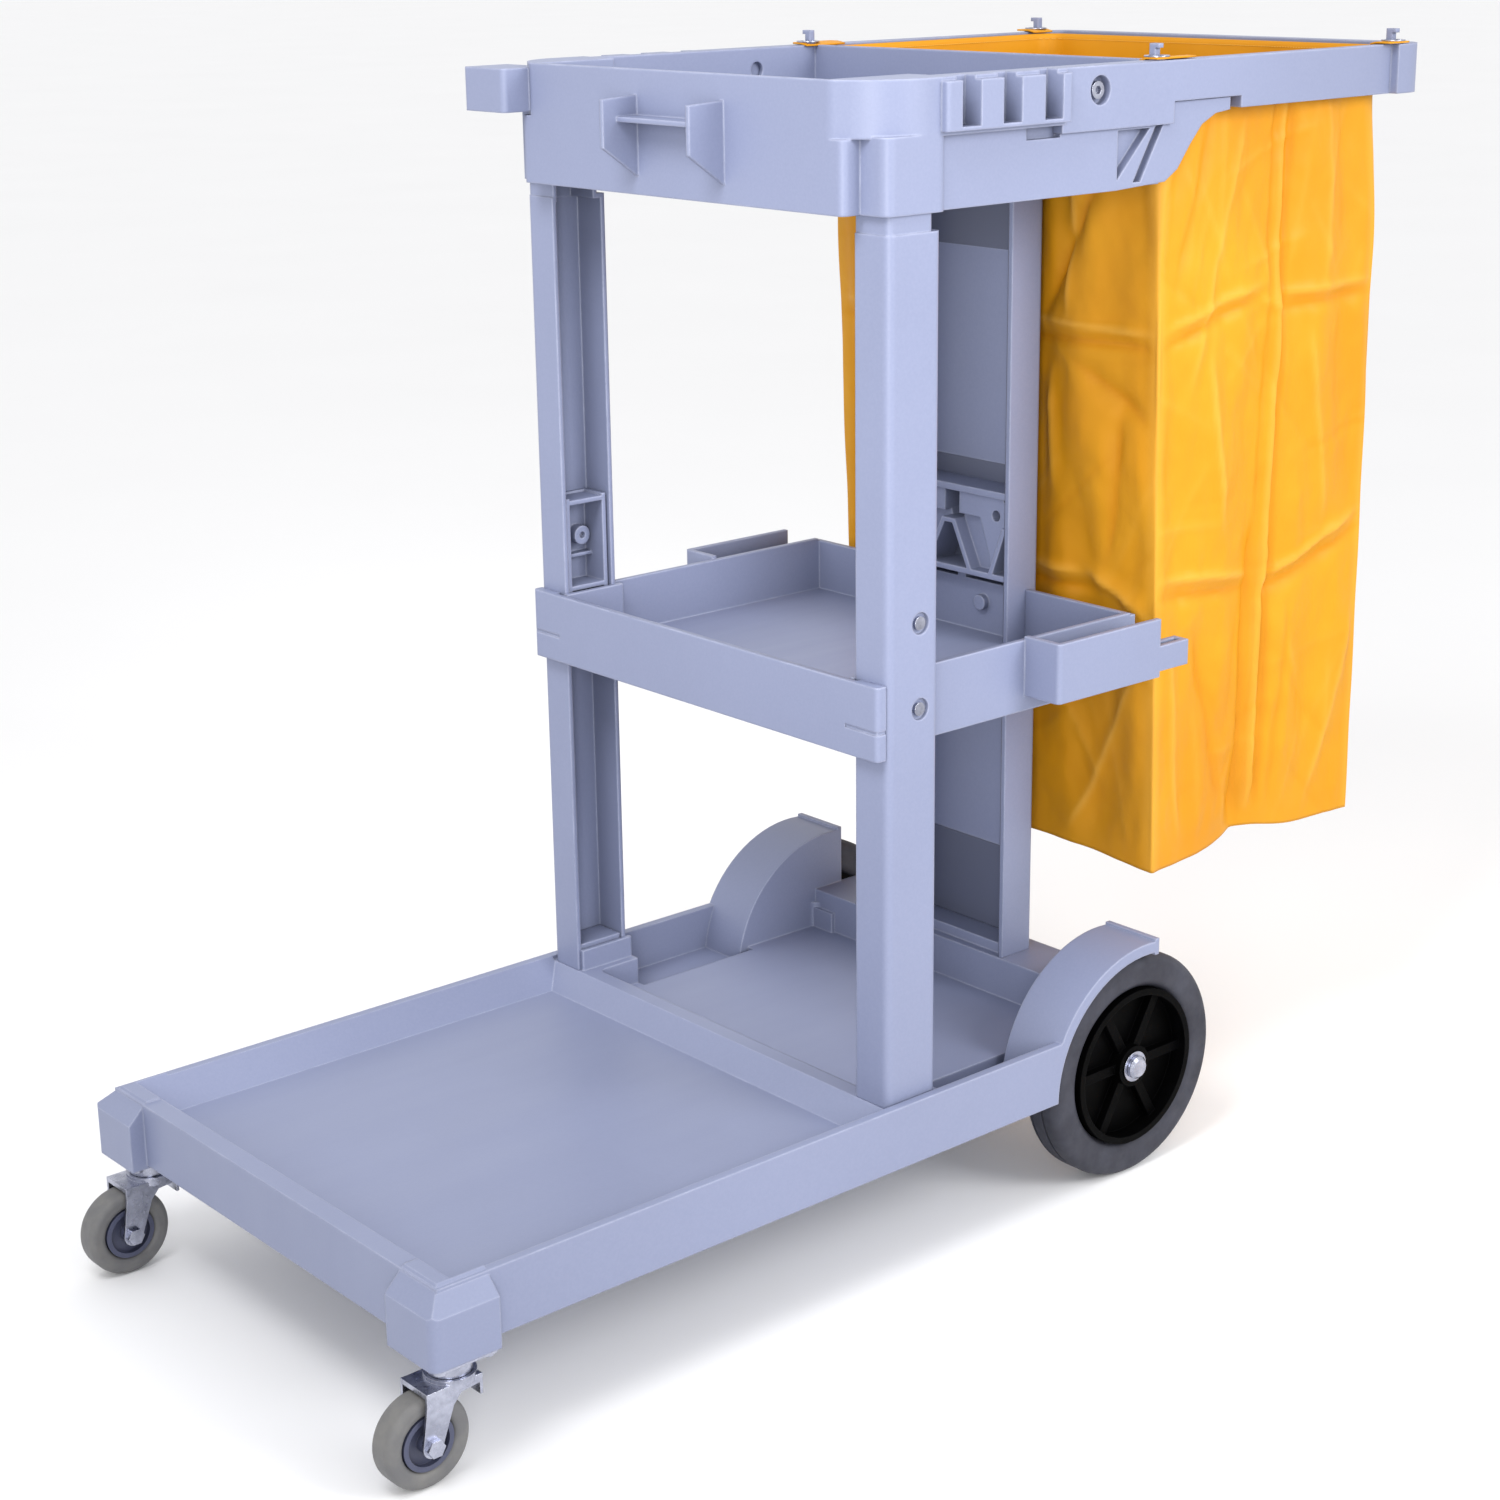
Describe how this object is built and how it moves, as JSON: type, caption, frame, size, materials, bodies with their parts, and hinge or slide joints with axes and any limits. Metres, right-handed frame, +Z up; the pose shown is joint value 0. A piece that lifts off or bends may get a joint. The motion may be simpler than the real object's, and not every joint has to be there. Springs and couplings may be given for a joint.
{
  "type": "housekeeping cart",
  "caption": "Moulded plastic cleaning cart: low bucket deck, shelf and tray on three posts, hanging vinyl waste bag, swivel casters in front, large fixed wheels behind.",
  "frame": {"origin": "on the floor at the centre of the bounding box", "axes": "+X towards the waste bag at the rear, +Y to the right of someone pushing from the bag end, +Z up; the low bucket deck is at -X"},
  "size_m": [1.16, 0.5, 0.99],
  "materials": {
    "grey_plastic": "fine moulded grain, satin",
    "yellow_vinyl": "coated vinyl cloth, soft sheen, fold creases",
    "bright_steel": "bright plated",
    "zinc_plate": "zinc plated pressed sheet",
    "grey_tread": "grey non-marking rubber",
    "black_hub": "black moulded plastic"
  },
  "bodies": {
    "chassis": {"base_platform": "grey_plastic", "rear_post": "grey_plastic", "middle_shelf": "grey_plastic", "top_tray": "grey_plastic", "bag_frame": "grey_plastic", "rear_axle": "bright_steel", "axle_nuts": "bright_steel", "axle_washers": "bright_steel", "caster_screws": "bright_steel", "shelf_screws": "bright_steel", "frame_bolts": "bright_steel", "front_post_left": "grey_plastic", "front_post_right": "grey_plastic", "caster_plate_left": "zinc_plate", "caster_plate_right": "zinc_plate", "caster_kingpin_left": "zinc_plate", "caster_kingpin_right": "zinc_plate"},
    "bag": {"waste_bag": "yellow_vinyl", "bag_eyelets": "bright_steel"},
    "rear_wheel_left": {"rear_tyre_left": "grey_tread", "rear_hub_left": "black_hub"},
    "caster_left": {"caster_fork_left": "zinc_plate", "caster_axle_left": "bright_steel"},
    "caster_wheel_left": {"caster_tyre_left": "grey_tread", "caster_hub_left": "black_hub"},
    "rear_wheel_right": {"rear_tyre_right": "grey_tread", "rear_hub_right": "black_hub"},
    "caster_right": {"caster_fork_right": "zinc_plate", "caster_axle_right": "bright_steel"},
    "caster_wheel_right": {"caster_tyre_right": "grey_tread", "caster_hub_right": "black_hub"}
  },
  "joints": [
    {"name": "bag_lift", "type": "slide", "parent": "chassis", "child": "bag", "axis": [0, 0, 1], "range_m": [0, 0.735]},
    {"name": "rear_wheel_roll_left", "type": "hinge", "parent": "chassis", "child": "rear_wheel_left", "pos_m": [0.224, -0.208, 0.104], "axis": [0, 1, 0], "continuous": true},
    {"name": "caster_swivel_left", "type": "hinge", "parent": "chassis", "child": "caster_left", "pos_m": [-0.515, -0.222, 0.08], "axis": [0, 0, 1], "continuous": true},
    {"name": "caster_roll_left", "type": "hinge", "parent": "caster_left", "child": "caster_wheel_left", "pos_m": [-0.543, -0.222, 0.037], "axis": [0, 1, 0], "continuous": true},
    {"name": "rear_wheel_roll_right", "type": "hinge", "parent": "chassis", "child": "rear_wheel_right", "pos_m": [0.224, 0.208, 0.104], "axis": [0, 1, 0], "continuous": true},
    {"name": "caster_swivel_right", "type": "hinge", "parent": "chassis", "child": "caster_right", "pos_m": [-0.515, 0.222, 0.08], "axis": [0, 0, 1], "continuous": true},
    {"name": "caster_roll_right", "type": "hinge", "parent": "caster_right", "child": "caster_wheel_right", "pos_m": [-0.543, 0.222, 0.037], "axis": [0, 1, 0], "continuous": true}
  ]
}
